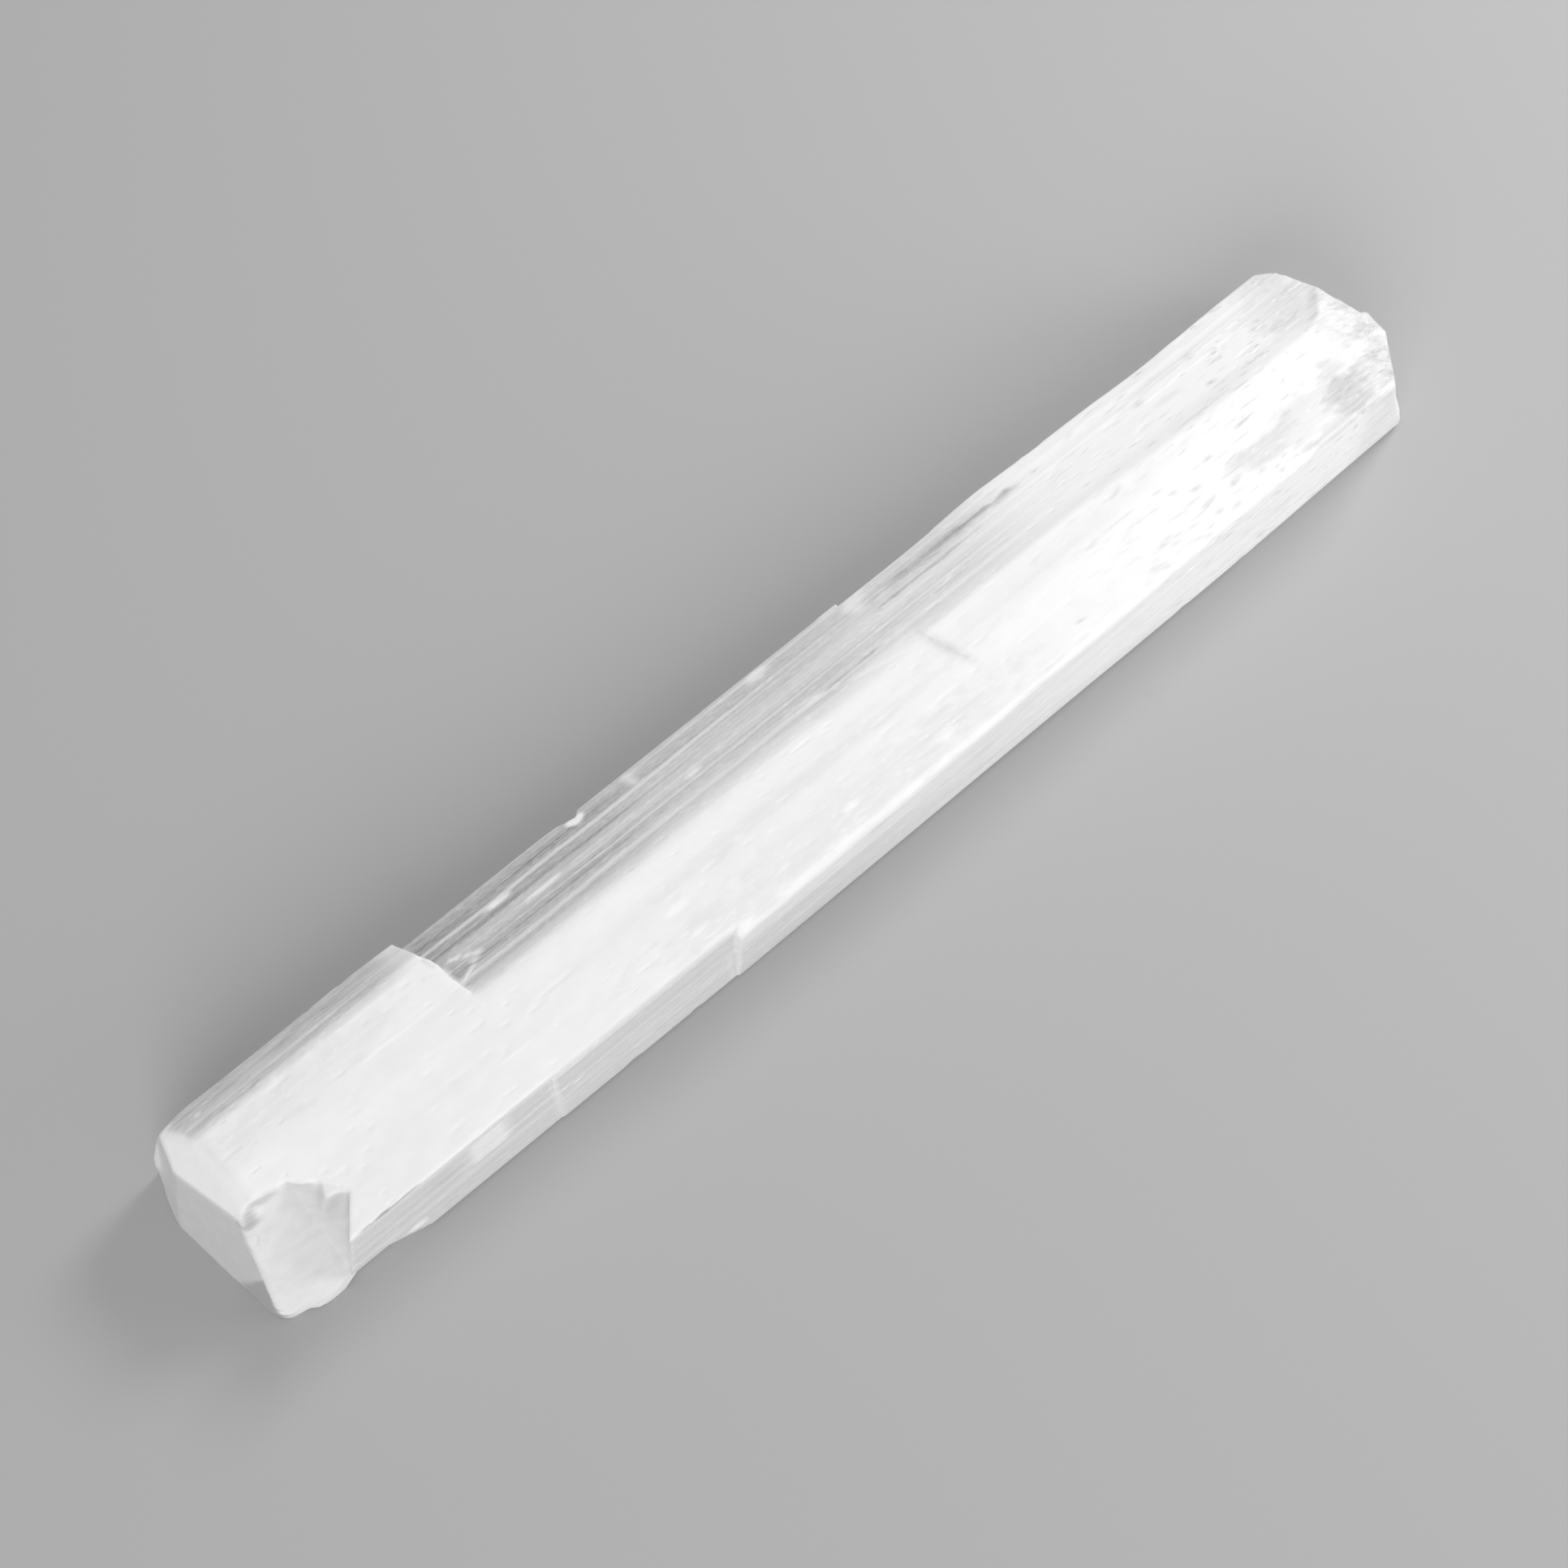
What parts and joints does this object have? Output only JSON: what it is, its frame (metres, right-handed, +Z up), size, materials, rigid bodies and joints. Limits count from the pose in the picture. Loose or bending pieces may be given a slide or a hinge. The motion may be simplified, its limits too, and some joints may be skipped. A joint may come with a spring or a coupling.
{
  "type": "selenite wand",
  "caption": "Rough stick of white fibrous selenite with a bevelled, chipped end, a striated clear bevel and splinter ledges, lying on its flat underside.",
  "frame": {"origin": "on the surface that the stick rests on, under the middle of its box", "axes": "+X along the stick, away from the bevelled and chipped end; +Y towards the side with the clear bevel; +Z up, out of the broad white face"},
  "size_m": [0.1989, 0.0294, 0.0183],
  "materials": {
    "satin_spar": "white satin sheen from parallel fibres, translucent, with clear grey streaks along the bevel"
  },
  "bodies": {
    "root": {"selenite_stick": "satin_spar"}
  },
  "joints": []
}
